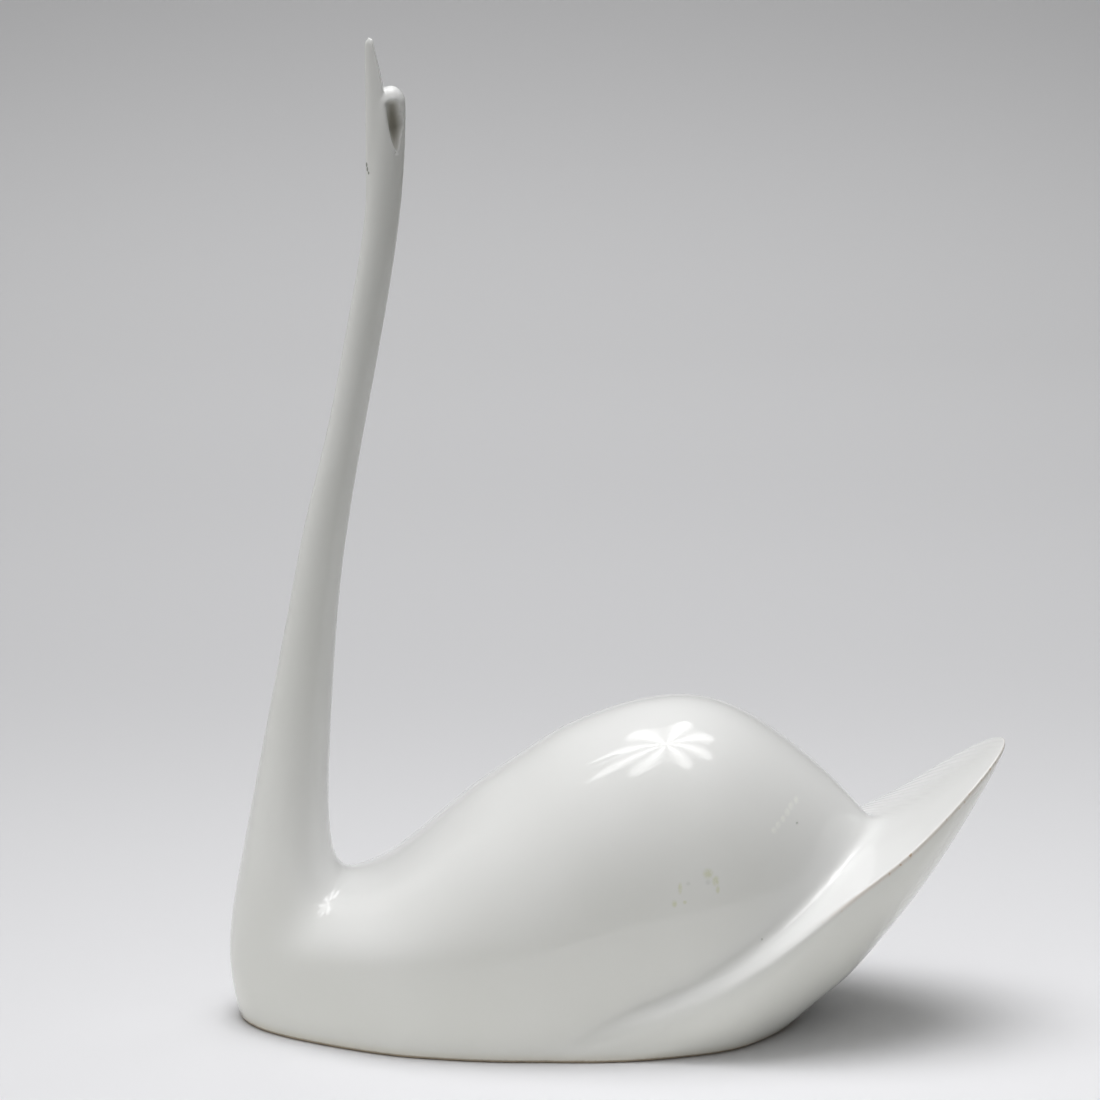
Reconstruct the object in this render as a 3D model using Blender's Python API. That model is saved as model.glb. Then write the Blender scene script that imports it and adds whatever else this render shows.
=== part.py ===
"""Swan figurine: one hollow slip casting in glazed porcelain, standing on a flat foot.

The swan faces -X and its tail points to +X. The origin is on the floor under the middle of the
foot, Z is up, and the plane Y = 0 is the plane of symmetry. All sizes are in metres.

The skin is the surface where one smooth field is zero. The field melts four forms together with
fillets: the neck, which widens into the chest; the egg-shaped back; the boat-shaped hull, whose
deck rises into the tail; and the bill. The skin is lofted from rings. They run down the neck,
turn around the crook between neck and back, and follow the body to the tip of the tail.
"""

import math

import bmesh
import bpy
import numpy as np

# Casting
WALL = 0.0035
VENT_RADIUS = 0.003
VENT_X = 0.045
VENT_SIDES = 24
FLOOR_BLOCK = 0.4

# Neck and chest in side view: height, then place of the outline along X.
THROAT = (
    (-0.010, -0.0845),
    (0.000, -0.0880),
    (0.010, -0.0905),
    (0.024, -0.0914),
    (0.048, -0.0881),
    (0.084, -0.0811),
    (0.110, -0.0760),
    (0.136, -0.0709),
    (0.161, -0.0659),
    (0.187, -0.0595),
    (0.225, -0.0519),
    (0.250, -0.0475),
    (0.266, -0.0458),
    (0.282, -0.0446),
    (0.300, -0.0425),
)
NAPE = (
    (-0.010, -0.0100),
    (0.020, -0.0240),
    (0.036, -0.0440),
    (0.048, -0.0555),
    (0.060, -0.0590),
    (0.085, -0.0592),
    (0.114, -0.0575),
    (0.145, -0.0547),
    (0.190, -0.0474),
    (0.235, -0.0391),
    (0.265, -0.0350),
    (0.287, -0.0338),
    (0.300, -0.0338),
)
NECK_HALF_WIDTH = (
    (-0.010, 0.0280),
    (0.012, 0.0290),
    (0.030, 0.0255),
    (0.050, 0.0190),
    (0.075, 0.0128),
    (0.110, 0.0090),
    (0.150, 0.0068),
    (0.200, 0.0053),
    (0.240, 0.0050),
    (0.275, 0.0048),
    (0.300, 0.0044),
)
CROWN_TOP = 0.2976
CROWN_CAP = 0.0055

# Bill: distance below its tip, then its back edge along X and its half width.
BILL_TIP = 0.3124
BILL_FRONT = -0.0461
BILL_LENGTH = 0.050
BILL_ROUNDING = 0.0022
BILL_BACK = (
    (0.000, -0.0439),
    (0.008, -0.0421),
    (0.015, -0.0406),
    (0.028, -0.0387),
    (0.036, -0.0374),
    (0.045, -0.0378),
    (0.060, -0.0410),
)
BILL_HALF_WIDTH = (
    (0.000, 0.0010),
    (0.008, 0.0022),
    (0.016, 0.0033),
    (0.028, 0.0043),
    (0.036, 0.0046),
    (0.045, 0.0041),
    (0.060, 0.0020),
)
BILL_EDGE = 0.0010

# Hollow on each side of the head, behind the edge of the bill. Its ends are given as distance
# below the crown, then distance of its middle from the plane of symmetry.
CHEEK_SETBACK = 0.0020
CHEEK_RADIUS = 0.0027
CHEEK_DEPTH_RADIUS = 0.0036
CHEEK_TOP = (0.0075, 0.0066)
CHEEK_BOTTOM = (0.0188, 0.0042)
CHEEK_CAP = 0.0022
CHEEK_EDGE = 0.0008

# Egg-shaped back, as oval sections across X: place along X, then each size. Its breast end lies
# EGG_BREAST_COVER behind the front of the chest.
EGG_AXIS_HEIGHT = (
    (-0.084, 0.0200),
    (-0.030, 0.0245),
    (0.000, 0.0282),
    (0.025, 0.0360),
    (0.050, 0.0435),
    (0.120, 0.0435),
)
EGG_HALF_WIDTH = (
    (-0.084, 0.0420),
    (-0.057, 0.0433),
    (-0.030, 0.0485),
    (0.000, 0.0527),
    (0.025, 0.0515),
    (0.050, 0.0490),
    (0.064, 0.0483),
    (0.078, 0.0461),
    (0.090, 0.0427),
    (0.100, 0.0381),
    (0.110, 0.0308),
)
EGG_RISE = (
    (-0.084, 0.0220),
    (-0.054, 0.0255),
    (-0.044, 0.0268),
    (-0.030, 0.0353),
    (-0.014, 0.0479),
    (0.000, 0.0555),
    (0.012, 0.0603),
    (0.025, 0.0621),
    (0.039, 0.0619),
    (0.052, 0.0602),
    (0.064, 0.0577),
    (0.078, 0.0535),
    (0.090, 0.0492),
    (0.100, 0.0460),
    (0.110, 0.0430),
)
EGG_DROP = (
    (-0.084, 0.0700),
    (-0.040, 0.0750),
    (0.000, 0.0900),
    (0.030, 0.0700),
    (0.055, 0.0600),
    (0.078, 0.0560),
    (0.100, 0.0465),
    (0.120, 0.0380),
)
EGG_BLEND = 0.010
EGG_BREAST_X = -0.030
EGG_BREAST_COVER = 0.0074
EGG_RUMP_X = 0.050
EGG_RUMP_LENGTH = 0.070

# Boat-shaped hull with its rim: place along X, then rim height, square of the rim's half width,
# and square of the half width where the side, run on down, meets the floor. The last is negative
# behind the foot, where the hull closes above the floor.
HULL_FRONT_X = -0.038
RIM_HEIGHT = (
    (-0.040, 0.0060),
    (0.000, 0.0080),
    (0.026, 0.0125),
    (0.047, 0.0190),
    (0.063, 0.0262),
    (0.084, 0.0378),
    (0.104, 0.0520),
    (0.1225, 0.0640),
    (0.1385, 0.0772),
    (0.1543, 0.0908),
)
RIM_SPREAD = (
    (-0.040, 1850e-6),
    (0.000, 2520e-6),
    (0.026, 2690e-6),
    (0.047, 2850e-6),
    (0.063, 2970e-6),
    (0.076, 2900e-6),
    (0.088, 2620e-6),
    (0.104, 2110e-6),
    (0.124, 1300e-6),
    (0.1543, 0.0),
)
FLOOR_SPREAD = (
    (-0.040, 1850e-6),
    (0.000, 2520e-6),
    (0.025, 2560e-6),
    (0.040, 2352e-6),
    (0.055, 1945e-6),
    (0.070, 1300e-6),
    (0.080, 560e-6),
    (0.0875, 0.0),
    (0.096, -620e-6),
    (0.104, -1080e-6),
    (0.113, -1850e-6),
    (0.123, -2740e-6),
    (0.140, -4500e-6),
    (0.1543, -6500e-6),
)
HULL_FULLNESS = 1.3
RIM_BAND = 0.0012
DECK_CAMBER = 3.0
RIM_ROUNDING = (
    (-0.040, 0.0200),
    (0.026, 0.0180),
    (0.060, 0.0130),
    (0.085, 0.0080),
    (0.100, 0.0025),
    (0.112, 0.0010),
    (0.1543, 0.0010),
)

# Fillets between the forms
CROOK_FILLET = 0.006
VALLEY_FILLET = (
    (-0.040, 0.0020),
    (0.020, 0.0030),
    (0.055, 0.0060),
    (0.085, 0.0100),
    (0.1543, 0.0100),
)

# Rings of the loft: number of the ring, then the middle of its plane along X and Z, and the
# plane's rise towards the tail in degrees. One corner of each ring moves onto the rim between
# the two RIM_RINGS, and the hollow uses every third ring between its ends.
RINGS = (
    (0, -0.0447, BILL_TIP - 0.0006, 0),
    (3, -0.0444, BILL_TIP - 0.0074, 25),
    (6, -0.0432, CROWN_TOP - 0.0012, 50),
    (10, -0.0400, CROWN_TOP - 0.0068, 42),
    (14, -0.0392, CROWN_TOP - 0.0170, 15),
    (17, -0.0400, 0.2700, 0),
    (20, -0.0420, 0.2500, 0),
    (25, -0.0500, 0.2000, 0),
    (30, -0.0615, 0.1400, 0),
    (34, -0.0690, 0.0980, 0),
    (37, -0.0720, 0.0700, 3),
    (41, -0.0700, 0.0515, 30),
    (46, -0.0585, 0.0345, 60),
    (53, -0.0380, 0.0260, 90),
    (61, 0.0200, 0.0380, 90),
    (69, 0.0800, 0.0385, 90),
    (76, 0.1180, 0.0490, 90),
    (80, 0.1380, 0.0680, 90),
    (83, 0.1490, 0.0815, 90),
    (85, 0.1530, 0.0882, 90),
    (86, 0.1541, 0.0901, 90),
)
RIM_RINGS = (58, 64)
CAVITY_RINGS = (28, 79, 3)
FLOOR_MARGIN = 0.006
ABOVE_RIM = 11
BELOW_RIM = 6
UNDERSIDE = 2

# Search for the skin along each ray
RAY_START = 0.0001
RAY_STRIDE = 0.004
RAY_STEPS = 60
SAMPLES = 241
NUDGE = 2e-6
LEAST_SLOPE = 1e-3
TINY = 1e-12


def curve_through(points):
    """A natural cubic spline through (place, value) points, straight beyond its ends."""
    places = np.array([place for place, value in points])
    values = np.array([value for place, value in points])
    gaps = np.diff(places)
    slopes = np.diff(values) / gaps
    count = len(places)
    matrix = np.eye(count)
    right = np.zeros(count)
    for i in range(1, count - 1):
        matrix[i, i - 1 : i + 2] = gaps[i - 1], 2 * (gaps[i - 1] + gaps[i]), gaps[i]
        right[i] = 6 * (slopes[i] - slopes[i - 1])
    bends = np.linalg.solve(matrix, right)

    def value_at(place):
        place = np.asarray(place, float)
        inside = np.clip(place, places[0], places[-1])
        i = np.clip(np.searchsorted(places, inside) - 1, 0, count - 2)
        t = inside - places[i]
        slope = slopes[i] - gaps[i] * (2 * bends[i] + bends[i + 1]) / 6
        growth = (bends[i + 1] - bends[i]) / gaps[i]
        curve = values[i] + t * (slope + t * (bends[i] / 2 + t * growth / 6))
        end_slope = slope + t * (bends[i] + t * growth / 2)
        return curve + (place - inside) * end_slope

    return value_at


throat = curve_through(THROAT)
nape = curve_through(NAPE)
neck_half_width = curve_through(NECK_HALF_WIDTH)
bill_back = curve_through(BILL_BACK)
bill_half_width = curve_through(BILL_HALF_WIDTH)
egg_axis_height = curve_through(EGG_AXIS_HEIGHT)
egg_half_width = curve_through(EGG_HALF_WIDTH)
egg_rise = curve_through(EGG_RISE)
egg_drop = curve_through(EGG_DROP)
rim_height = curve_through(RIM_HEIGHT)
rim_spread = curve_through(RIM_SPREAD)
floor_spread = curve_through(FLOOR_SPREAD)
rim_rounding = curve_through(RIM_ROUNDING)
valley_fillet = curve_through(VALLEY_FILLET)
egg_breast_length = EGG_BREAST_X - throat(EGG_AXIS_HEIGHT[0][1]) - EGG_BREAST_COVER


def melt(a, b, reach):
    """The union of two fields, with a fillet that starts where they differ by reach."""
    overlap = np.maximum(reach - np.abs(a - b), 0) / reach
    return np.minimum(a, b) - overlap**3 * reach / 6


def crop(a, b, reach):
    """What two fields have in common, with a rounded edge."""
    return -melt(-a, -b, reach)


def as_distance(level, x, y, z):
    """Scales a level so that near its surface it reads as a distance in metres."""
    here = level(x, y, z)
    slope_x = (level(x + NUDGE, y, z) - here) / NUDGE
    slope_y = (level(x, y + NUDGE, z) - here) / NUDGE
    slope_z = (level(x, y, z + NUDGE) - here) / NUDGE
    return here / np.maximum(np.sqrt(slope_x**2 + slope_y**2 + slope_z**2), LEAST_SLOPE)


def neck_level(x, y, z):
    front = throat(z)
    back = nape(z)
    cap = np.maximum(z - (CROWN_TOP - CROWN_CAP), 0) / CROWN_CAP
    along = (x - (front + back) / 2) / ((back - front) / 2)
    return np.sqrt(along**2 + (y / neck_half_width(z)) ** 2 + cap**2) - 1


def cheek_level(x, y, z):
    below = CROWN_TOP - z
    share = (below - CHEEK_TOP[0]) / (CHEEK_BOTTOM[0] - CHEEK_TOP[0])
    middle_y = CHEEK_TOP[1] + share * (CHEEK_BOTTOM[1] - CHEEK_TOP[1])
    along = (x - bill_back(BILL_TIP - z) - CHEEK_SETBACK) / CHEEK_RADIUS
    across = (np.abs(y) - middle_y) / CHEEK_DEPTH_RADIUS
    cap = np.maximum(np.maximum(CHEEK_TOP[0] - below, below - CHEEK_BOTTOM[0]), 0) / CHEEK_CAP
    return np.sqrt(along**2 + across**2 + cap**2) - 1


def bill_level(x, y, z):
    below = BILL_TIP - z
    back = bill_back(below)
    cap = np.maximum(BILL_ROUNDING - below, 0) / BILL_ROUNDING
    along = (x - back) / (back - BILL_FRONT)
    return np.sqrt(along**2 + (y / bill_half_width(below)) ** 2 + cap**2) - 1


def egg_level(x, y, z):
    place = np.minimum(x, EGG_RUMP_X + EGG_RUMP_LENGTH)
    height = z - egg_axis_height(place)
    upper = 0.5 + 0.5 * np.tanh(height / EGG_BLEND)
    reach_z = egg_drop(place) + (egg_rise(place) - egg_drop(place)) * upper
    ahead = np.maximum(EGG_BREAST_X - x, 0) / egg_breast_length
    behind = np.maximum(x - EGG_RUMP_X, 0) / EGG_RUMP_LENGTH
    across = y / egg_half_width(place)
    return np.sqrt(across**2 + (height / reach_z) ** 2 + ahead**2 + behind**2 + TINY) - 1


def side_level(x, y, z):
    band_foot = rim_height(x) - RIM_BAND
    fall = np.maximum(band_foot - z, 0) / band_foot
    spread = rim_spread(x)
    return y**2 - spread + (spread - floor_spread(x)) * fall**HULL_FULLNESS


def deck_height(x, y):
    return rim_height(x) + DECK_CAMBER * (rim_spread(x) - y**2)


def deck_level(x, y, z):
    return z - deck_height(x, y)


def field(x, y, z):
    """Negative inside the figurine, zero on its skin, positive outside."""
    neck = as_distance(neck_level, x, y, z)
    cheek = as_distance(cheek_level, x, y, z)
    head = crop(neck, -cheek, CHEEK_EDGE)
    bill = as_distance(bill_level, x, y, z)
    bill = crop(bill, x - bill_back(BILL_TIP - z), BILL_EDGE)
    bill = np.maximum(bill, BILL_TIP - BILL_LENGTH - z)
    head = melt(head, bill, BILL_EDGE)
    egg = as_distance(egg_level, x, y, z)
    side = as_distance(side_level, x, y, z)
    deck = as_distance(deck_level, x, y, z)
    hull = crop(side, deck, rim_rounding(x))
    hull = np.maximum(hull, HULL_FRONT_X - x)
    body = melt(egg, hull, valley_fillet(x))
    return melt(head, body, CROOK_FILLET)


def outer_field(x, y, z):
    return np.maximum(field(x, y, z), -FLOOR_MARGIN - z)


def cavity_field(x, y, z):
    return np.maximum(field(x, y, z) + WALL, WALL - z)


def trace(solid, planes, angles):
    """Points of each ring: from its middle, at each angle from the rising direction, to the skin."""
    middle_x, middle_z, rise = planes[:, 0, None], planes[:, 1, None], planes[:, 2, None]
    along = np.cos(angles)
    step_x = np.cos(rise) * along
    step_y = np.sin(angles)
    step_z = np.sin(rise) * along
    reach = np.full(angles.shape, RAY_START)
    for _ in range(RAY_STEPS):
        depth = solid(middle_x + reach * step_x, reach * step_y, middle_z + reach * step_z)
        reach = reach - np.clip(depth, -RAY_STRIDE, RAY_STRIDE)
    return np.stack([middle_x + reach * step_x, reach * step_y, middle_z + reach * step_z], -1)


def ring_planes(numbers):
    """Middle and rise of the plane of each ring."""
    columns = [curve_through([(row[0], row[i]) for row in RINGS])(numbers) for i in (1, 2, 3)]
    return np.stack([columns[0], columns[1], np.radians(columns[2])], -1)


def ring_angles(solid, planes, numbers, floor_height):
    """Even steps along the skin of each ring, with one corner on the rim and one at the floor."""
    dense = np.linspace(0, math.pi, SAMPLES)
    points = trace(solid, planes, np.tile(dense, (len(planes), 1)))
    lengths = np.linalg.norm(np.diff(points, axis=1), axis=2).cumsum(axis=1)
    count = ABOVE_RIM + BELOW_RIM + UNDERSIDE
    angles = []
    for number, plane, ring, length in zip(numbers, planes, points, lengths):
        share = np.concatenate([[0], length / length[-1]])
        at_floor = np.flatnonzero(ring[:, 2] < floor_height + RAY_START)
        floor = share[at_floor[0]] if len(at_floor) else 1
        floor = min(floor, (ABOVE_RIM + BELOW_RIM) / count)
        rim = floor * ABOVE_RIM / (ABOVE_RIM + BELOW_RIM)
        if number > RIM_RINGS[0]:
            rim_width = math.sqrt(max(rim_spread(plane[0]), 0))
            on_rim = np.interp(math.atan2(rim_width, rim_height(plane[0]) - plane[1]), dense, share)
            rim += (on_rim - rim) * np.interp(number, RIM_RINGS, (0, 1))
        shares = np.interp(
            np.arange(count + 1), (0, ABOVE_RIM, ABOVE_RIM + BELOW_RIM, count), (0, rim, floor, 1)
        )
        angles.append(np.interp(shares, share, dense))
    return np.array(angles)


def loft(name, solid, numbers, floor_height, poles):
    """Rings joined by quads, mirrored across Y = 0, and closed by a fan at each end."""
    planes = ring_planes(numbers)
    halves = trace(solid, planes, ring_angles(solid, planes, numbers, floor_height))
    halves[:, 0, 1] = halves[:, -1, 1] = 0
    rings = np.concatenate([halves, halves[:, -2:0:-1] * (1, -1, 1)], axis=1)
    mesh = bpy.data.meshes.new(name)
    builder = bmesh.new()
    rows = [[builder.verts.new(point) for point in ring] for ring in rings]
    for row, following in zip(rows, rows[1:]):
        for i in range(len(row)):
            builder.faces.new((row[i - 1], row[i], following[i], following[i - 1]))
    for row, pole, order in ((rows[0], poles[0], -1), (rows[-1], poles[1], 1)):
        tip = builder.verts.new(pole)
        for i in range(len(row)):
            builder.faces.new((tip, row[i - 1], row[i])[::order])
    bmesh.ops.recalc_face_normals(builder, faces=builder.faces)
    builder.to_mesh(mesh)
    builder.free()
    return bpy.data.objects.new(name, mesh)


def cylinder(name, radius, bottom, top, centre_x):
    mesh = bpy.data.meshes.new(name)
    builder = bmesh.new()
    bmesh.ops.create_cone(
        builder,
        cap_ends=True,
        segments=VENT_SIDES,
        radius1=radius,
        radius2=radius,
        depth=top - bottom,
    )
    bmesh.ops.translate(builder, verts=builder.verts, vec=(centre_x, 0, (top + bottom) / 2))
    builder.to_mesh(mesh)
    builder.free()
    return bpy.data.objects.new(name, mesh)


def floor_block():
    """The room under the floor plane, as wide as the swan is long."""
    mesh = bpy.data.meshes.new("floor_cut")
    builder = bmesh.new()
    bmesh.ops.create_cube(builder, size=FLOOR_BLOCK)
    bmesh.ops.translate(builder, verts=builder.verts, vec=(0, 0, -FLOOR_BLOCK / 2))
    builder.to_mesh(mesh)
    builder.free()
    return bpy.data.objects.new("floor_cut", mesh)


def outer_skin():
    """The whole outside, run on below the floor."""
    numbers = np.arange(RINGS[0][0], RINGS[-1][0] + 1)
    bill_tip = ((BILL_FRONT + bill_back(0)) / 2, 0, BILL_TIP)
    tail_tip = (RIM_HEIGHT[-1][0], 0, RIM_HEIGHT[-1][1] - RIM_BAND / 2)
    return loft("swan", outer_field, numbers, -FLOOR_MARGIN, (bill_tip, tail_tip))


def cavity():
    """The hollow that the casting leaves, one wall inside the skin."""
    numbers = np.arange(CAVITY_RINGS[0], CAVITY_RINGS[1] + 1, CAVITY_RINGS[2])
    planes = ring_planes(numbers)
    ends = [(planes[i, 0], 0, planes[i, 1]) for i in (0, -1)]
    return loft("cavity", cavity_field, numbers, WALL, ends)


def cut_away(target, cutter):
    """Takes one closed form out of another."""
    step = target.modifiers.new("cut_" + cutter.name, "BOOLEAN")
    step.operation = "DIFFERENCE"
    step.solver = "EXACT"
    step.object = cutter
    cutter.hide_render = True
    cutter.display_type = "WIRE"


def porcelain():
    material = bpy.data.materials.new("white_glazed_porcelain")
    material.use_nodes = True
    shader = material.node_tree.nodes["Principled BSDF"]
    shader.inputs["Base Color"].default_value = (0.76, 0.76, 0.71, 1)
    shader.inputs["Roughness"].default_value = 0.08
    shader.inputs["IOR"].default_value = 1.52
    return material


def linked_collection(name):
    collection = bpy.data.collections.new(name)
    bpy.context.scene.collection.children.link(collection)
    return collection


def main():
    for old in list(bpy.data.objects):
        bpy.data.objects.remove(old)
    swan = outer_skin()
    swan.data.materials.append(porcelain())
    linked_collection("swan_figurine").objects.link(swan)
    cutters = linked_collection("cutters")
    vent = cylinder("vent", VENT_RADIUS, -WALL, 2 * WALL, VENT_X)
    for cutter in (cavity(), floor_block(), vent):
        cutters.objects.link(cutter)
        cut_away(swan, cutter)
    swan.data.shade_smooth()


main()
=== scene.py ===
"""Swan figurine: the finished look of the white glazed porcelain swan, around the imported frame.

The skin is drawn at full resolution from the same smooth field as the solid: the neck, which
widens into the chest; the egg-shaped back; the boat-shaped hull, whose deck rises into the tail;
and the bill. Sizes are in metres. The swan faces -X, its tail points to +X, and Z is up.
"""

import math

import bmesh
import bpy
import numpy as np
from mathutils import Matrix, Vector


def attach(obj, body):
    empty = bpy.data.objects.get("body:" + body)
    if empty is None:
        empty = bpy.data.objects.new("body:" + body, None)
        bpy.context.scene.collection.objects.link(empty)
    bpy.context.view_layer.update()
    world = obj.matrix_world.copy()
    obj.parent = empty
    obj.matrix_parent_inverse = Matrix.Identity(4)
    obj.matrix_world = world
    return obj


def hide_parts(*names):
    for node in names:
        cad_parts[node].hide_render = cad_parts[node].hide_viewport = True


# The photograph's view
PHOTO_SIZE = 1100
FOCAL_PIXELS = 4808.4
SENSOR = 36.0
CAMERA_PLACE = Vector((0.01056, -1.47016, 0.47768))
CAMERA_PITCH = math.radians(12.5)

# Neck and chest in side view: height, then place of the outline along X.
THROAT = (
    (-0.010, -0.0845),
    (0.000, -0.0880),
    (0.010, -0.0905),
    (0.024, -0.0914),
    (0.048, -0.0881),
    (0.084, -0.0811),
    (0.110, -0.0760),
    (0.136, -0.0709),
    (0.161, -0.0659),
    (0.187, -0.0595),
    (0.225, -0.0519),
    (0.250, -0.0475),
    (0.266, -0.0458),
    (0.282, -0.0446),
    (0.300, -0.0425),
)
NAPE = (
    (-0.010, -0.0100),
    (0.020, -0.0240),
    (0.036, -0.0440),
    (0.048, -0.0555),
    (0.060, -0.0590),
    (0.085, -0.0592),
    (0.114, -0.0575),
    (0.145, -0.0547),
    (0.190, -0.0474),
    (0.235, -0.0391),
    (0.265, -0.0350),
    (0.287, -0.0338),
    (0.300, -0.0338),
)
NECK_HALF_WIDTH = (
    (-0.010, 0.0280),
    (0.012, 0.0290),
    (0.030, 0.0255),
    (0.050, 0.0190),
    (0.075, 0.0128),
    (0.110, 0.0090),
    (0.150, 0.0068),
    (0.200, 0.0053),
    (0.240, 0.0050),
    (0.275, 0.0048),
    (0.300, 0.0044),
)
CROWN_TOP = 0.2976
CROWN_CAP = 0.0055

# Bill: distance below its tip, then its back edge along X and its half width.
BILL_TIP = 0.3124
BILL_FRONT = -0.0461
BILL_LENGTH = 0.050
BILL_ROUNDING = 0.0022
BILL_BACK = (
    (0.000, -0.0439),
    (0.008, -0.0421),
    (0.015, -0.0406),
    (0.028, -0.0387),
    (0.036, -0.0374),
    (0.045, -0.0378),
    (0.060, -0.0410),
)
BILL_HALF_WIDTH = (
    (0.000, 0.0010),
    (0.008, 0.0022),
    (0.016, 0.0033),
    (0.028, 0.0043),
    (0.036, 0.0046),
    (0.045, 0.0041),
    (0.060, 0.0020),
)
BILL_EDGE = 0.0007

# Hollow on each side of the head; its ends are given as depth below the crown, then place along Y.
CHEEK_FRONT = 0.0003
CHEEK_BACK = 0.0013
CHEEK_DEPTH_RADIUS = 0.0038
CHEEK_TOP = (0.0054, 0.0062)
CHEEK_BOTTOM = (0.0125, 0.0047)
CHEEK_TOP_CAP = 0.0016
CHEEK_BOTTOM_CAP = 0.0078
CHEEK_EDGE = 0.0006
HOLLOW_LOWEST = 0.270
HOLLOW_DEEP = 0.0026

# Egg-shaped back, as oval sections across X: place along X, then each size.
EGG_AXIS_HEIGHT = (
    (-0.084, 0.0200),
    (-0.030, 0.0245),
    (0.000, 0.0282),
    (0.025, 0.0360),
    (0.050, 0.0435),
    (0.120, 0.0435),
)
EGG_HALF_WIDTH = (
    (-0.084, 0.0420),
    (-0.057, 0.0433),
    (-0.030, 0.0485),
    (0.000, 0.0527),
    (0.025, 0.0515),
    (0.050, 0.0490),
    (0.064, 0.0483),
    (0.078, 0.0461),
    (0.090, 0.0427),
    (0.100, 0.0381),
    (0.110, 0.0308),
)
EGG_RISE = (
    (-0.084, 0.0220),
    (-0.054, 0.0255),
    (-0.044, 0.0268),
    (-0.030, 0.0353),
    (-0.014, 0.0479),
    (0.000, 0.0555),
    (0.012, 0.0603),
    (0.025, 0.0621),
    (0.039, 0.0619),
    (0.052, 0.0602),
    (0.064, 0.0577),
    (0.078, 0.0535),
    (0.090, 0.0492),
    (0.100, 0.0460),
    (0.110, 0.0430),
)
EGG_DROP = (
    (-0.084, 0.0700),
    (-0.040, 0.0750),
    (0.000, 0.0900),
    (0.030, 0.0700),
    (0.055, 0.0600),
    (0.078, 0.0560),
    (0.100, 0.0465),
    (0.120, 0.0380),
)
EGG_BLEND = 0.010
EGG_BREAST_X = -0.030
EGG_BREAST_LENGTH = 0.054
EGG_RUMP_X = 0.050
EGG_RUMP_LENGTH = 0.070

# Hull: rim height, then squares of its half width at the rim and where its side meets the floor.
HULL_FRONT_X = -0.038
RIM_HEIGHT = (
    (-0.040, 0.0060),
    (0.000, 0.0092),
    (0.013, 0.0110),
    (0.026, 0.0130),
    (0.047, 0.0181),
    (0.063, 0.0252),
    (0.084, 0.0378),
    (0.104, 0.0520),
    (0.1225, 0.0640),
    (0.1385, 0.0772),
    (0.1543, 0.0908),
)
RIM_SPREAD = (
    (-0.040, 1850e-6),
    (0.000, 2560e-6),
    (0.013, 2650e-6),
    (0.026, 2720e-6),
    (0.047, 2850e-6),
    (0.063, 2970e-6),
    (0.076, 2900e-6),
    (0.088, 2620e-6),
    (0.104, 2110e-6),
    (0.124, 1300e-6),
    (0.1543, 0.0),
)
FLOOR_SPREAD = (
    (-0.040, 1850e-6),
    (0.000, 2520e-6),
    (0.025, 2560e-6),
    (0.040, 2352e-6),
    (0.055, 1945e-6),
    (0.070, 1300e-6),
    (0.080, 560e-6),
    (0.0875, 0.0),
    (0.096, -620e-6),
    (0.104, -1080e-6),
    (0.113, -1850e-6),
    (0.123, -2740e-6),
    (0.140, -4500e-6),
    (0.1543, -6500e-6),
)
HULL_FULLNESS = 1.3
RIM_BAND = 0.0012
DECK_CAMBER = 3.0
RIM_ROUNDING = (
    (-0.040, 0.0200),
    (0.026, 0.0180),
    (0.060, 0.0130),
    (0.085, 0.0080),
    (0.100, 0.0028),
    (0.112, 0.0015),
    (0.1543, 0.0013),
)
FOOT_ROUNDING = 0.0012

# Fillets between the forms
CROOK_FILLET = 0.010
VALLEY_FILLET = (
    (-0.040, 0.0020),
    (0.020, 0.0030),
    (0.055, 0.0050),
    (0.085, 0.0075),
    (0.1543, 0.0085),
)

# Rings of the skin: number, middle of its plane along X and Z, and rise of the plane in degrees.
RINGS = (
    (0, -0.0446, BILL_TIP - 0.0005, 0),
    (3, -0.0444, BILL_TIP - 0.0074, 25),
    (6, -0.0432, CROWN_TOP - 0.0012, 50),
    (10, -0.0400, CROWN_TOP - 0.0068, 42),
    (14, -0.0392, CROWN_TOP - 0.0170, 15),
    (17, -0.0400, 0.2700, 0),
    (20, -0.0420, 0.2500, 0),
    (25, -0.0500, 0.2000, 0),
    (30, -0.0615, 0.1400, 0),
    (34, -0.0690, 0.0980, 0),
    (37, -0.0720, 0.0700, 3),
    (41, -0.0700, 0.0515, 30),
    (46, -0.0585, 0.0345, 60),
    (53, -0.0380, 0.0260, 90),
    (61, 0.0200, 0.0380, 90),
    (69, 0.0800, 0.0385, 90),
    (76, 0.1180, 0.0490, 90),
    (80, 0.1380, 0.0680, 90),
    (83, 0.1490, 0.0815, 90),
    (85, 0.1530, 0.0882, 90),
    (86, 0.1541, 0.0901, 90),
)
RING_STEP = 0.25
RIM_RINGS = (58, 64)
HEAD_RINGS = 30
EDGE_REACH = 0.0022
EDGE_SHARE = 0.03
FLOOR_SHARE = 0.93
RIM_SHARE = 0.62
ROWS_ABOVE_RIM = 40
ROWS_ON_RIM = 14
ROWS_BELOW_RIM = 18
ROWS_ON_FOOT_EDGE = 6
ROWS_UNDER = 6

# Bands of the skin that the glaze is coloured by: where each starts and how far it fades
FEATHER_START = 0.002
FEATHER_REACH = 0.006
FEATHER_DEPTH = 0.0015
FEATHER_FRONT = 0.09
RIM_START = 0.090
RIM_LENGTH = 0.014
RIM_WIDTH = 0.0012
RIM_DEPTH = 0.0006
BAND_DEPTH = 0.0022
BAND_FADE = 0.0005
FOOT_REACH = 0.0040

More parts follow.
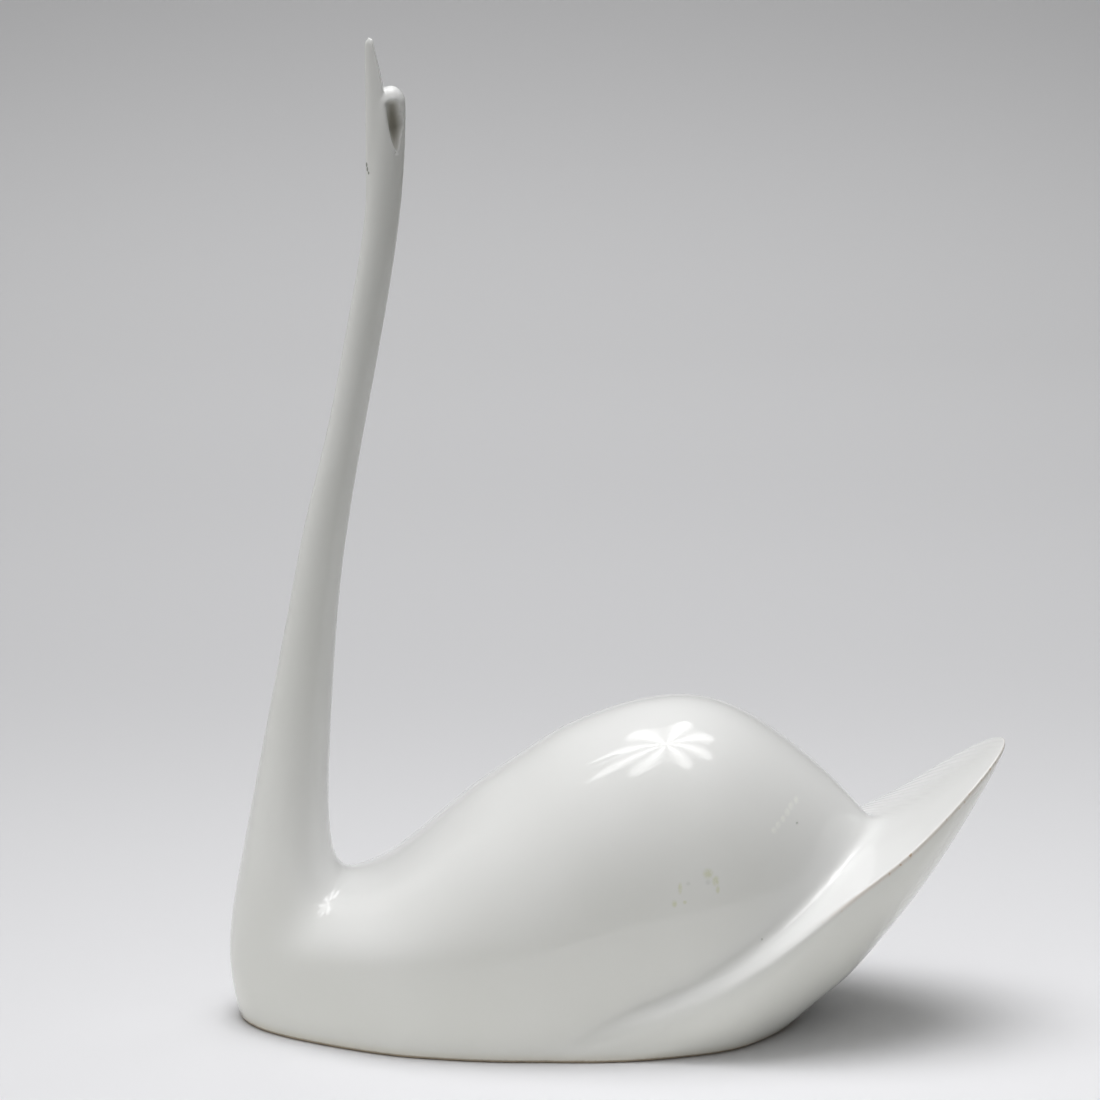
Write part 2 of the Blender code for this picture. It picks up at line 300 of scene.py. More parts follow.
# Porcelain: glaze, then marks as ovals of middle and half size, then their colours; the pale streaks are
# painted reflections, and the rim, band, foot and hollow colours hold painted light and shade
GLAZE = (0.832, 0.833, 0.837)
GLAZE_SHADE = (0.810, 0.812, 0.811)
STAINS = (
    ((0.0592, -0.0465, 0.0600), (0.0022, 0.004, 0.0021)),
    ((0.0616, -0.0469, 0.0577), (0.0015, 0.004, 0.0022)),
    ((0.0622, -0.0474, 0.0552), (0.0009, 0.004, 0.0020)),
    ((0.0506, -0.0480, 0.0557), (0.0009, 0.004, 0.0024)),
    ((0.0489, -0.0489, 0.0510), (0.0011, 0.004, 0.0016)),
    ((0.0521, -0.0487, 0.0514), (0.0009, 0.004, 0.0008)),
)
SMUDGES = (
    ((0.0531, -0.0477, 0.0571), (0.0010, 0.004, 0.0009)),
    ((0.0592, -0.0470, 0.0574), (0.0012, 0.004, 0.0012)),
    ((0.0873, -0.0297, 0.0714), (0.0009, 0.002, 0.0009)),
)
# Pale streaks on the rear of the back: painted reflections, laid as ovals of middle and half size
PAINTED_REFLECTIONS = (
    ((0.0842, -0.0298, 0.0750), (0.0013, 0.003, 0.0017)),
    ((0.0855, -0.0277, 0.0764), (0.0013, 0.003, 0.0017)),
    ((0.0872, -0.0251, 0.0776), (0.0012, 0.003, 0.0015)),
    ((0.0799, -0.0354, 0.0708), (0.0012, 0.003, 0.0014)),
    ((0.0812, -0.0340, 0.0720), (0.0012, 0.003, 0.0015)),
    ((0.0828, -0.0320, 0.0734), (0.0012, 0.003, 0.0014)),
)
PINHOLES = (
    ((0.0873, -0.0297, 0.0714), (0.0004, 0.001, 0.0004)),
    ((0.0761, -0.0440, 0.0379), (0.0005, 0.002, 0.0005)),
)
HAIRLINE = (
    ((-0.0459, -0.0014, 0.2733), (0.0004, 0.003, 0.0009)),
    ((-0.0456, -0.0014, 0.2720), (0.0003, 0.003, 0.0009)),
    ((-0.0452, -0.0014, 0.2709), (0.0003, 0.003, 0.0006)),
)
STAIN_COLOUR = (0.88, 0.89, 0.75)
# Colour of the painted reflection streaks
REFLECTION_PAINT_COLOUR = (0.90, 0.905, 0.88)
SMUDGE_COLOUR = (0.82, 0.83, 0.82)
PIT_COLOUR = (0.74, 0.75, 0.73)
CRACK_COLOUR = (0.35, 0.36, 0.34)
# Lighter warm line on the tail's rim lip: bare bisque tint, and a painted highlight where the lip
# catches light
RIM_BARE_AND_HIGHLIGHT_COLOUR = (0.96, 0.92, 0.89)
# Band on the hull side under the rim lip: warm tint of thin glaze, darkened as a painted shade line
BAND_TINT_AND_SHADE_COLOUR = (0.82, 0.78, 0.755)
SPECK_COLOUR = (0.62, 0.47, 0.35)
# Dark warm line at the foot's edge: bare clay, darkened as a painted contact shadow
BARE_FOOT_AND_SHADOW_COLOUR = (0.42, 0.35, 0.28)
FOOT_TINGE = (0.90, 0.85, 0.76)
# Painted shade: darkens the glaze in the cheek hollows, where the head's recess falls in shade
HOLLOW_PAINTED_SHADE = (0.50, 0.48, 0.42)

# Grain of the glaze and the combed lines on the tail
CLOUD_SCALE = 16.0
RAGGED_SCALE = 900.0
SPECK_SCALE = 420.0
GLOSS_SCALE = 45.0
WAVE_SCALE = 60.0
WAVE_DEPTH = 0.0004
SMUDGE_STRENGTH = 0.5
TINGE_STRENGTH = 0.6
GLAZE_ROUGHNESS = (0.03, 0.055)
MARK_ROUGHNESS = 0.2
BARE_ROUGHNESS = 0.6
GLAZE_IOR = 1.47
PIT_DEPTH = 0.0003
BARB_SPACING = 0.0055
BARB_SLANT = 2.1
BARB_WANDER = 0.0015
BARB_DEPTH = 0.00006
BARB_FADE = (-0.014, 0.004)

# Paper sweep: where it starts, turns up and ends, and its tone by place along Y, which is painted light
# and shade; it is also painted darker towards the sides and lighter towards the right at the front
SWEEP_FRONT = -0.30
SWEEP_BACK = 1.2
SWEEP_RADIUS = 0.9
SWEEP_TURN = math.radians(50)
SWEEP_HALF_WIDTH = 0.75
SWEEP_STEP = 0.05
SWEEP_ROWS = 25
SWEEP_COLUMNS = 41
PAPER_PAINTED_LIGHT = (
    (-0.30, 0.765),
    (-0.08, 0.767),
    (0.03, 0.728),
    (0.195, 0.659),
    (0.40, 0.580),
    (0.65, 0.582),
    (0.81, 0.592),
    (0.985, 0.625),
    (1.20, 0.655),
    (1.40, 0.650),
    (1.55, 0.605),
    (1.69, 0.523),
    (1.90, 0.400),
)
PAPER_PAINTED_SIDE_SHADE = 0.28
PAPER_PAINTED_LEAN = 0.16
PAPER_TINT = (1.0, 1.0, 1.035)
PAPER_BOUNCE = (0.85, 0.85, 0.81)
PAPER_GLOW = 0.03

# Studio light
UMBRELLA_SIZE = 1.7
UMBRELLA_POWER = 50.0
UMBRELLA_HUB = (0.57, 0.50, 0.0)
FILL_POWER = 9.9
FILL_SHIFT = Vector((-0.18, 0.0, 0.10))
UMBRELLA_PLACE = Vector((-0.02, 0.13, 1.78))
UMBRELLA_TARGET = Vector((0.04, 0.0, 0.08))
RIBS = 8.0
RIB_GLOW = 1.0
RIB_SHARPNESS = 1.2
PANEL_GLOW = 0.24
UMBRELLA_EDGE = 0.68
UMBRELLA_SCALLOP = 0.3
UMBRELLA_FALL = 0.6
CEILING = 1.35
CEILING_TIGHTNESS = 8.0
LEFT_WALL = 0.65
BACK_WALL = 0.05
FRONT_HIGH = 0.56
BACKGROUND = 0.62
STUDIO_COLOUR = (1.0, 1.0, 0.965)

# Search for the skin along each ray
RAY_START = 0.0001
RAY_STRIDE = 0.006
RAY_STEPS = 40
SAMPLES = 181
NUDGE = 2e-6
LEAST_SLOPE = 1e-3
TINY = 1e-12


def curve_through(points):
    """A natural cubic spline through (place, value) points, straight beyond its ends."""
    places = np.array([place for place, value in points])
    values = np.array([value for place, value in points])
    gaps = np.diff(places)
    slopes = np.diff(values) / gaps
    count = len(places)
    matrix = np.eye(count)
    right = np.zeros(count)
    for i in range(1, count - 1):
        matrix[i, i - 1 : i + 2] = gaps[i - 1], 2 * (gaps[i - 1] + gaps[i]), gaps[i]
        right[i] = 6 * (slopes[i] - slopes[i - 1])
    bends = np.linalg.solve(matrix, right)

    def value_at(place):
        place = np.asarray(place, float)
        inside = np.clip(place, places[0], places[-1])
        i = np.clip(np.searchsorted(places, inside) - 1, 0, count - 2)
        t = inside - places[i]
        slope = slopes[i] - gaps[i] * (2 * bends[i] + bends[i + 1]) / 6
        growth = (bends[i + 1] - bends[i]) / gaps[i]
        curve = values[i] + t * (slope + t * (bends[i] / 2 + t * growth / 6))
        end_slope = slope + t * (bends[i] + t * growth / 2)
        return curve + (place - inside) * end_slope

    return value_at


throat = curve_through(THROAT)
nape = curve_through(NAPE)
neck_half_width = curve_through(NECK_HALF_WIDTH)
bill_back = curve_through(BILL_BACK)
bill_half_width = curve_through(BILL_HALF_WIDTH)
egg_axis_height = curve_through(EGG_AXIS_HEIGHT)
egg_half_width = curve_through(EGG_HALF_WIDTH)
egg_rise = curve_through(EGG_RISE)
egg_drop = curve_through(EGG_DROP)
rim_height = curve_through(RIM_HEIGHT)
rim_spread = curve_through(RIM_SPREAD)
floor_spread = curve_through(FLOOR_SPREAD)
rim_rounding = curve_through(RIM_ROUNDING)
valley_fillet = curve_through(VALLEY_FILLET)


def melt(a, b, reach):
    """The union of two fields, with a fillet that starts where they differ by reach."""
    overlap = np.maximum(reach - np.abs(a - b), 0) / reach
    return np.minimum(a, b) - overlap**3 * reach / 6


def crop(a, b, reach):
    """What two fields have in common, with a rounded edge."""
    return -melt(-a, -b, reach)


def as_distance(level, x, y, z):
    """Scales a level so that near its surface it reads as a distance in metres."""
    here = level(x, y, z)
    slope_x = (level(x + NUDGE, y, z) - here) / NUDGE
    slope_y = (level(x, y + NUDGE, z) - here) / NUDGE
    slope_z = (level(x, y, z + NUDGE) - here) / NUDGE
    return here / np.maximum(np.sqrt(slope_x**2 + slope_y**2 + slope_z**2), LEAST_SLOPE)


def neck_level(x, y, z):
    front = throat(z)
    back = nape(z)
    cap = np.maximum(z - (CROWN_TOP - CROWN_CAP), 0) / CROWN_CAP
    along = (x - (front + back) / 2) / ((back - front) / 2)
    return np.sqrt(along**2 + (y / neck_half_width(z)) ** 2 + cap**2) - 1


def cheek_level(x, y, z):
    below = CROWN_TOP - z
    share = (below - CHEEK_TOP[0]) / (CHEEK_BOTTOM[0] - CHEEK_TOP[0])
    middle_y = CHEEK_TOP[1] + share * (CHEEK_BOTTOM[1] - CHEEK_TOP[1])
    front = bill_back(BILL_TIP - z) - CHEEK_FRONT
    back = nape(z) - CHEEK_BACK
    along = (x - (front + back) / 2) / ((back - front) / 2)
    across = np.abs(np.abs(y) - middle_y) / CHEEK_DEPTH_RADIUS
    over = np.maximum(CHEEK_TOP[0] - below, 0) / CHEEK_TOP_CAP
    under = np.maximum(below - CHEEK_BOTTOM[0], 0) / CHEEK_BOTTOM_CAP
    return np.sqrt(along**2 + (across + under) ** 2 + over**2) - 1


def bill_level(x, y, z):
    below = BILL_TIP - z
    back = bill_back(below)
    cap = np.maximum(BILL_ROUNDING - below, 0) / BILL_ROUNDING
    along = (x - back) / (back - BILL_FRONT)
    return np.sqrt(along**2 + (y / bill_half_width(below)) ** 2 + cap**2) - 1


def egg_level(x, y, z):
    place = np.minimum(x, EGG_RUMP_X + EGG_RUMP_LENGTH)
    height = z - egg_axis_height(place)
    upper = 0.5 + 0.5 * np.tanh(height / EGG_BLEND)
    reach_z = egg_drop(place) + (egg_rise(place) - egg_drop(place)) * upper
    ahead = np.maximum(EGG_BREAST_X - x, 0) / EGG_BREAST_LENGTH
    behind = np.maximum(x - EGG_RUMP_X, 0) / EGG_RUMP_LENGTH
    across = y / egg_half_width(place)
    return np.sqrt(across**2 + (height / reach_z) ** 2 + ahead**2 + behind**2 + TINY) - 1


def side_level(x, y, z):
    band_foot = rim_height(x) - RIM_BAND
    fall = np.maximum(band_foot - z, 0) / band_foot
    spread = rim_spread(x)
    return y**2 - spread + (spread - floor_spread(x)) * fall**HULL_FULLNESS


def deck_level(x, y, z):
    return z - rim_height(x) - DECK_CAMBER * (rim_spread(x) - y**2)


def head_field(x, y, z):
    """Neck, head and bill: negative inside, zero on the skin, positive outside."""
    neck = as_distance(neck_level, x, y, z)
    cheek = as_distance(cheek_level, x, y, z)
    head = crop(neck, -cheek, CHEEK_EDGE)
    bill = as_distance(bill_level, x, y, z)
    bill = crop(bill, x - bill_back(BILL_TIP - z), BILL_EDGE)
    bill = np.maximum(bill, BILL_TIP - BILL_LENGTH - z)
    return melt(head, bill, BILL_EDGE)


def body_forms(x, y, z):
    """Egg, hull side and deck, each as a distance."""
    egg = as_distance(egg_level, x, y, z)
    side = as_distance(side_level, x, y, z)
    deck = as_distance(deck_level, x, y, z)
    return egg, side, deck


def body_field(x, y, z):
    """Chest, back and tail, standing on a foot with a softly rounded edge."""
    egg, side, deck = body_forms(x, y, z)
    hull = crop(side, deck, rim_rounding(x))
    hull = np.maximum(hull, HULL_FRONT_X - x)
    body = melt(egg, hull, valley_fillet(x))
    whole = melt(as_distance(neck_level, x, y, z), body, CROOK_FILLET)
    return crop(whole, -z, FOOT_ROUNDING)


def trace(solid, planes, angles):
    """Points of each ring: from its middle, at each angle from the rising direction, to the skin."""
    middle_x, middle_z, rise = planes[:, 0, None], planes[:, 1, None], planes[:, 2, None]
    along = np.cos(angles)
    step_x = np.cos(rise) * along
    step_y = np.sin(angles)
    step_z = np.sin(rise) * along
    reach = np.full(angles.shape, RAY_START)
    for _ in range(RAY_STEPS):
        depth = solid(middle_x + reach * step_x, reach * step_y, middle_z + reach * step_z)
        reach = reach - np.clip(depth, -RAY_STRIDE, RAY_STRIDE)
    return np.stack([middle_x + reach * step_x, reach * step_y, middle_z + reach * step_z], -1)


def ring_planes(numbers):
    """Middle and rise of the plane of each ring."""
    columns = [curve_through([(row[0], row[i]) for row in RINGS])(numbers) for i in (1, 2, 3)]
    return np.stack([columns[0], columns[1], np.radians(columns[2])], -1)


def row_shares(rim, floor, edge):
    """Share of a half ring's length at each row: close rows follow the rim and the foot's edge."""
    stops = (0, rim - edge, rim + edge, floor - edge, floor + edge, 1)
    rows = np.cumsum((0, ROWS_ABOVE_RIM, ROWS_ON_RIM, ROWS_BELOW_RIM, ROWS_ON_FOOT_EDGE, ROWS_UNDER))
    return np.interp(np.arange(rows[-1] + 1), rows, stops)


def ring_angles(solid, planes, numbers):
    """Angles of the rows in each ring, found from even samples of its outline."""
    dense = np.linspace(0, math.pi, SAMPLES)
    points = trace(solid, planes, np.tile(dense, (len(planes), 1)))
    lengths = np.linalg.norm(np.diff(points, axis=1), axis=2).cumsum(axis=1)
    angles = []
    for number, plane, ring, length in zip(numbers, planes, points, lengths):
        share = np.concatenate([[0], length / length[-1]])
        edge = min(EDGE_REACH / length[-1], EDGE_SHARE)
        on_floor = np.flatnonzero(ring[:, 2] < RAY_START)
        floor = min(share[on_floor[0]] if len(on_floor) else 1, FLOOR_SHARE)
        rim = floor * RIM_SHARE
        if number > RIM_RINGS[0]:
            rim_width = math.sqrt(max(rim_spread(plane[0]), 0))
            height = rim_height(plane[0]) - RIM_BAND / 2 - plane[1]
            on_rim = np.interp(math.atan2(rim_width, height), dense, share)
            rim += (on_rim - rim) * np.interp(number, RIM_RINGS, (0, 1))
        rim = min(rim, floor - 3 * edge)
        angles.append(np.interp(row_shares(rim, floor, edge), share, dense))
    return np.array(angles)


def skin_rings():
    """Corners of the skin, ring by ring, from the bill's tip to the tip of the tail."""
    numbers = np.arange(RINGS[0][0], RINGS[-1][0] + RING_STEP / 2, RING_STEP)
    of_head = numbers < HEAD_RINGS
    halves = []
    for solid, chosen in ((head_field, numbers[of_head]), (body_field, numbers[~of_head])):
        planes = ring_planes(chosen)
        halves.append(trace(solid, planes, ring_angles(solid, planes, chosen)))
    halves = np.concatenate(halves)
    halves[:, (0, -1), 1] = 0
    return np.concatenate([halves, halves[:, -2:0:-1] * (1, -1, 1)], axis=1)


def skin_mesh():
    """The closed skin, with the places of tail feathers, rim and foot edge kept at its corners."""
    rings = skin_rings()
    ring_count, around = rings.shape[:2]
    tips = [
        ((BILL_FRONT + bill_back(0)) / 2, 0, BILL_TIP),
        (RIM_HEIGHT[-1][0], 0, RIM_HEIGHT[-1][1] - RIM_BAND / 2),
    ]
    corners = np.concatenate([rings.reshape(-1, 3), tips])
    first = len(corners) - 2
    last = len(corners) - 1
    faces = []
    for row in range(ring_count - 1):
        start = row * around
        following = start + around
        for i in range(around):
            j = (i + 1) % around
            faces.append((start + i, start + j, following + j, following + i))
    end = (ring_count - 1) * around
    for i in range(around):
        j = (i + 1) % around
        faces.append((first, j, i))
        faces.append((last, end + i, end + j))
    mesh = bpy.data.meshes.new("porcelain_skin")
    mesh.from_pydata([tuple(corner) for corner in corners], [], faces)
    mesh.update()
    builder = bmesh.new()
    builder.from_mesh(mesh)
    bmesh.ops.recalc_face_normals(builder, faces=builder.faces)
    builder.to_mesh(mesh)
    builder.free()
    mesh.shade_smooth()
    x, y, z = corners.T
    egg, side, deck = body_forms(x, y, z)
    off_egg = np.clip((egg - FEATHER_START) / FEATHER_REACH, 0, 1)
    feathers = off_egg * np.clip(1 + deck / FEATHER_DEPTH, 0, 1) * (x > FEATHER_FRONT)
    along = np.clip((x - RIM_START) / RIM_LENGTH, 0, 1)
    # rim: the narrow lip of the tail's rim, which carries the bare tint and a painted highlight
    rim = np.clip(1 + side / RIM_WIDTH, 0, 1) * np.clip(1 + deck / RIM_DEPTH, 0, 1) * along
    # band: the hull side just under the rim lip, where a painted shade line and a warm tint go
    band = np.clip(1 + deck / BAND_DEPTH, 0, 1) * np.clip(-deck / BAND_FADE, 0, 1) * along
    # foot: nearness to the floor, for the foot's bare edge and its painted contact shadow
    foot = np.clip(1 - z / FOOT_REACH, 0, 1)
    # hollow: how deep a point lies in the cheek hollows, which carry painted shade
    carved = -as_distance(neck_level, x, y, z) * (z > HOLLOW_LOWEST) * (z < CROWN_TOP)
    hollow = np.clip(carved / HOLLOW_DEEP, 0, 1) * (x > bill_back(BILL_TIP - z) - CHEEK_FRONT)
    bands = {"feathers": feathers, "rim": rim, "band": band, "foot": foot, "hollow": hollow}
    for name, values in bands.items():
        layer = mesh.attributes.new(name, "FLOAT", "POINT")
        layer.data.foreach_set("value", values.astype(np.float32))
    return mesh


class Nodes:
    """Short calls for building one tree of shader nodes."""

    def __init__(self, tree):
        self.tree = tree

    def add(self, kind, **settings):
        node = self.tree.nodes.new(kind)
        for name, value in settings.items():
            setattr(node, name, value)
        return node

    def join(self, source, target):
        self.tree.links.new(source, target)

    def fill(self, socket, value):
        if isinstance(value, bpy.types.NodeSocket):
            self.join(value, socket)
        elif isinstance(value, tuple) and socket.type == "RGBA":
            socket.default_value = (*value, 1)
        else:
            socket.default_value = value

    def math(self, operation, a, b=0.0):
        node = self.add("ShaderNodeMath", operation=operation)
        self.fill(node.inputs[0], a)
        self.fill(node.inputs[1], b)
        return node.outputs[0]

    def sum(self, *values):
        total = values[0]
        for value in values[1:]:
            total = self.math("ADD", total, value)
        return total

    def product(self, *values):
        total = values[0]
        for value in values[1:]:
            total = self.math("MULTIPLY", total, value)
        return total

    def vector(self, operation, a, b):
        node = self.add("ShaderNodeVectorMath", operation=operation)
        self.fill(node.inputs[0], a)
        self.fill(node.inputs[1], b)
        return node

    def split(self, vector):
        node = self.add("ShaderNodeSeparateXYZ")
        self.join(vector, node.inputs[0])
        return node.outputs

    def ramp(self, value, start, end, low=0.0, high=1.0):
        node = self.add("ShaderNodeMapRange", interpolation_type="SMOOTHSTEP")
        places = {"Value": value, "From Min": start, "From Max": end, "To Min": low, "To Max": high}
        for name, number in places.items():
            self.fill(node.inputs[name], number)
        return node.outputs["Result"]

    def attribute(self, name):
        return self.add("ShaderNodeAttribute", attribute_name=name).outputs["Fac"]

    def noise(self, vector, scale, detail=2.0):
        node = self.add("ShaderNodeTexNoise")
        self.fill(node.inputs["Vector"], vector)
        node.inputs["Scale"].default_value = scale
        node.inputs["Detail"].default_value = detail
        return node.outputs["Fac"]

    def mix(self, share, under, over, blend="MIX"):
        node = self.add("ShaderNodeMix", data_type="RGBA", blend_type=blend)
        self.fill(node.inputs[0], share)
        self.fill(node.inputs[6], under)
        self.fill(node.inputs[7], over)
        return node.outputs[2]

    def spot(self, vector, middle, half_size, softness):
        """1 inside an oval around its middle, fading to 0 at its edge."""
        offset = self.vector("SUBTRACT", vector, middle).outputs[0]
        scaled = self.vector("DIVIDE", offset, half_size).outputs[0]
        length = self.vector("LENGTH", scaled, (0.0, 0.0, 0.0)).outputs["Value"]
        return self.ramp(length, 1.0, 1.0 - softness)

    def spots(self, vector, ovals, softness):
        """The strongest of several ovals."""
        total = 0.0
        for middle, half_size in ovals:
            total = self.math("MAXIMUM", total, self.spot(vector, middle, half_size, softness))
        return total

    def bump(self, height, strength, distance, normal=None):
        node = self.add("ShaderNodeBump")
        node.inputs["Strength"].default_value = strength
        node.inputs["Distance"].default_value = distance
        self.join(height, node.inputs["Height"])
        if normal:
            self.join(normal, node.inputs["Normal"])
        return node.outputs["Normal"]


def new_material(name):
    material = bpy.data.materials.new(name)
    material.use_nodes = True
    nodes = Nodes(material.node_tree)
    return material, nodes, material.node_tree.nodes["Principled BSDF"]


def porcelain():
    """White glazed porcelain with its stains, pinholes and hairline, pale streaks that are painted
    reflections, a bare rim with a painted highlight and a painted shade line below it, a bare foot with
    a painted contact shadow, and painted shade in the cheek hollows.
    """
    material, nodes, shader = new_material("white_glazed_porcelain")
    place = nodes.add("ShaderNodeTexCoord").outputs["Object"]
    x, y, z = nodes.split(place)
    cloud = nodes.ramp(nodes.noise(place, CLOUD_SCALE), 0.35, 0.65)
    colour = nodes.mix(cloud, GLAZE_SHADE, GLAZE)

    ragged = nodes.noise(place, RAGGED_SCALE, 3.0)
    # Painted shade in the cheek hollows
    colour = nodes.mix(nodes.attribute("hollow"), colour, HOLLOW_PAINTED_SHADE, "MULTIPLY")
    mottle = nodes.ramp(ragged, 0.3, 0.6, 0.45, 1.0)
    stain = nodes.product(nodes.spots(place, STAINS, 0.75), mottle)
    colour = nodes.mix(stain, colour, STAIN_COLOUR, "MULTIPLY")
    smudge = nodes.product(nodes.spots(place, SMUDGES, 0.8), SMUDGE_STRENGTH)
    colour = nodes.mix(smudge, colour, SMUDGE_COLOUR, "MULTIPLY")
    # Painted reflections: pale streaks on the rear of the back, a little rougher than the glaze
    streak = nodes.ramp(ragged, 0.3, 0.6, 0.5, 1.0)
    painted_reflection = nodes.product(nodes.spots(place, PAINTED_REFLECTIONS, 0.8), streak)
    colour = nodes.mix(painted_reflection, colour, REFLECTION_PAINT_COLOUR)
    pit = nodes.spots(place, PINHOLES, 0.5)
    colour = nodes.mix(pit, colour, PIT_COLOUR, "MULTIPLY")
    crack = nodes.spots(place, HAIRLINE, 0.4)
    colour = nodes.mix(crack, colour, CRACK_COLOUR, "MULTIPLY")
    # Band under the rim lip: warm tint and painted shade line, with brownish specks
    band = nodes.ramp(nodes.attribute("band"), 0.1, 0.7)
    colour = nodes.mix(band, colour, BAND_TINT_AND_SHADE_COLOUR)
    speck = nodes.product(band, nodes.ramp(nodes.noise(place, SPECK_SCALE, 1.0), 0.61, 0.70))
    colour = nodes.mix(speck, colour, SPECK_COLOUR)
    # Rim lip: bare warm tint with a painted highlight, broken up by wear
    wear_and_glint = nodes.ramp(ragged, 0.3, 0.6, 0.6, 1.0)
    rim = nodes.product(nodes.ramp(nodes.attribute("rim"), 0.3, 0.9), wear_and_glint)
    colour = nodes.mix(rim, colour, RIM_BARE_AND_HIGHLIGHT_COLOUR)
    # Foot: FOOT_TINGE makes the glaze warmer and darker towards the floor; the lowest edge is bare clay
    # with a painted contact shadow
    near_floor = nodes.attribute("foot")
    tinge = nodes.ramp(near_floor, 0.0, 0.9, 0.0, TINGE_STRENGTH)
    colour = nodes.mix(tinge, colour, FOOT_TINGE, "MULTIPLY")
    foot = nodes.ramp(nodes.math("ADD", near_floor, nodes.product(ragged, 0.1)), 0.74, 0.88)
    colour = nodes.mix(foot, colour, BARE_FOOT_AND_SHADOW_COLOUR)
    nodes.join(colour, shader.inputs["Base Color"])

    bare = nodes.math("MAXIMUM", foot, nodes.product(rim, 0.5))
    gloss = nodes.ramp(nodes.noise(place, GLOSS_SCALE, 4.0), 0.3, 0.7, *GLAZE_ROUGHNESS)
    # Stains and the painted reflection streaks are rougher than the glaze
    marks = nodes.product(nodes.math("MAXIMUM", stain, painted_reflection), MARK_ROUGHNESS)
    dulled = nodes.math("MAXIMUM", gloss, marks)
    roughness = nodes.ramp(bare, 0.0, 1.0, dulled, BARE_ROUGHNESS)
    nodes.join(roughness, shader.inputs["Roughness"])
    shader.inputs["IOR"].default_value = GLAZE_IOR

    wave = nodes.bump(nodes.noise(place, WAVE_SCALE, 1.0), 0.35, WAVE_DEPTH)
    wander = nodes.product(nodes.noise(place, 70.0), BARB_WANDER)
    lane = nodes.sum(nodes.product(x, BARB_SLANT), y, wander)
    barbs = nodes.math("SINE", nodes.product(lane, math.tau / BARB_SPACING))
    barbs = nodes.product(barbs, nodes.attribute("feathers"), nodes.ramp(y, *BARB_FADE))
    grooved = nodes.bump(barbs, 0.5, BARB_DEPTH, wave)
    sunk = nodes.product(nodes.math("MAXIMUM", pit, crack), -1.0)
    nodes.join(nodes.bump(sunk, 0.6, PIT_DEPTH, grooved), shader.inputs["Normal"])
    return material


def paper():
    """Pale matte paper whose seen colour carries painted light and shade, and which throws more light
    back on the swan than the view shows.
    """
    material, nodes, shader = new_material("pale_paper")
    tone = nodes.add("ShaderNodeAttribute", attribute_name="tone")
    nodes.join(tone.outputs["Color"], shader.inputs["Base Color"])
    shader.inputs["Roughness"].default_value = 0.9
    shader.inputs["Specular IOR Level"].default_value = 0.0
    bright = nodes.add("ShaderNodeBsdfDiffuse")
    bright.inputs["Color"].default_value = (*PAPER_BOUNCE, 1)
    glow = nodes.add("ShaderNodeEmission")
    glow.inputs["Strength"].default_value = PAPER_GLOW
    both = nodes.add("ShaderNodeAddShader")
    nodes.join(bright.outputs[0], both.inputs[0])
    nodes.join(glow.outputs[0], both.inputs[1])
    seen = nodes.add("ShaderNodeMixShader")
    ray = nodes.add("ShaderNodeLightPath").outputs
    nodes.join(nodes.math("MAXIMUM", ray["Is Camera Ray"], ray["Is Glossy Ray"]), seen.inputs[0])
    nodes.join(both.outputs[0], seen.inputs[1])
    nodes.join(shader.outputs[0], seen.inputs[2])
    nodes.join(seen.outputs[0], nodes.tree.nodes["Material Output"].inputs["Surface"])
    return material


def link(name, data):
    piece = bpy.data.objects.new(name, data)
    bpy.context.scene.collection.objects.link(piece)
    return piece


def swan():
    piece = link("porcelain_swan", skin_mesh())
    piece.data.materials.append(porcelain())
    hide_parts("swan")
    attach(piece, "root")


def sweep():
    """Sheet of paper that lies flat, then curves up behind the swan; its tone varies with place as
    painted light and shade.
    """
    outline = [(place, 0.0) for place in np.arange(SWEEP_FRONT, SWEEP_BACK, SWEEP_STEP)]
    for turn in np.linspace(0, SWEEP_TURN, SWEEP_ROWS):
        outline.append((SWEEP_BACK + SWEEP_RADIUS * math.sin(turn), SWEEP_RADIUS * (1 - math.cos(turn))))
    columns = np.linspace(-SWEEP_HALF_WIDTH, SWEEP_HALF_WIDTH, SWEEP_COLUMNS)
    points = [(column, place, height) for place, height in outline for column in columns]
    count = len(columns)
    faces = []
    for row in range(len(outline) - 1):
        for i in range(count - 1):
            start = row * count + i
            faces.append((start, start + 1, start + count + 1, start + count))
    mesh = bpy.data.meshes.new("sweep")
    mesh.from_pydata(points, [], faces)
    mesh.shade_smooth()
    # Painted light and shade of the sweep, stored in the tone colour
    tone = curve_through(PAPER_PAINTED_LIGHT)
    layer = mesh.color_attributes.new("tone", "FLOAT_COLOR", "POINT")
    for item, (column, place, height) in zip(layer.data, points):
        share = column / SWEEP_HALF_WIDTH
        lean = PAPER_PAINTED_LEAN * share * max(1 - place / SWEEP_BACK, 0)
        level = float(tone(place)) * (1 - PAPER_PAINTED_SIDE_SHADE * share**2 + lean)
        item.color = (level * PAPER_TINT[0], level * PAPER_TINT[1], level * PAPER_TINT[2], 1)
    mesh.materials.append(paper())
    piece = link("sweep", mesh)


def overhead(name, power):
    """Round soft light overhead, aimed at the swan."""
    light = bpy.data.lights.new(name, "AREA")
    light.shape = "DISK"
    light.size = UMBRELLA_SIZE
    light.energy = power
    piece = link(name, light)
    piece.location = UMBRELLA_PLACE
    piece.rotation_euler = (UMBRELLA_TARGET - UMBRELLA_PLACE).to_track_quat("-Z", "Y").to_euler()
    return piece


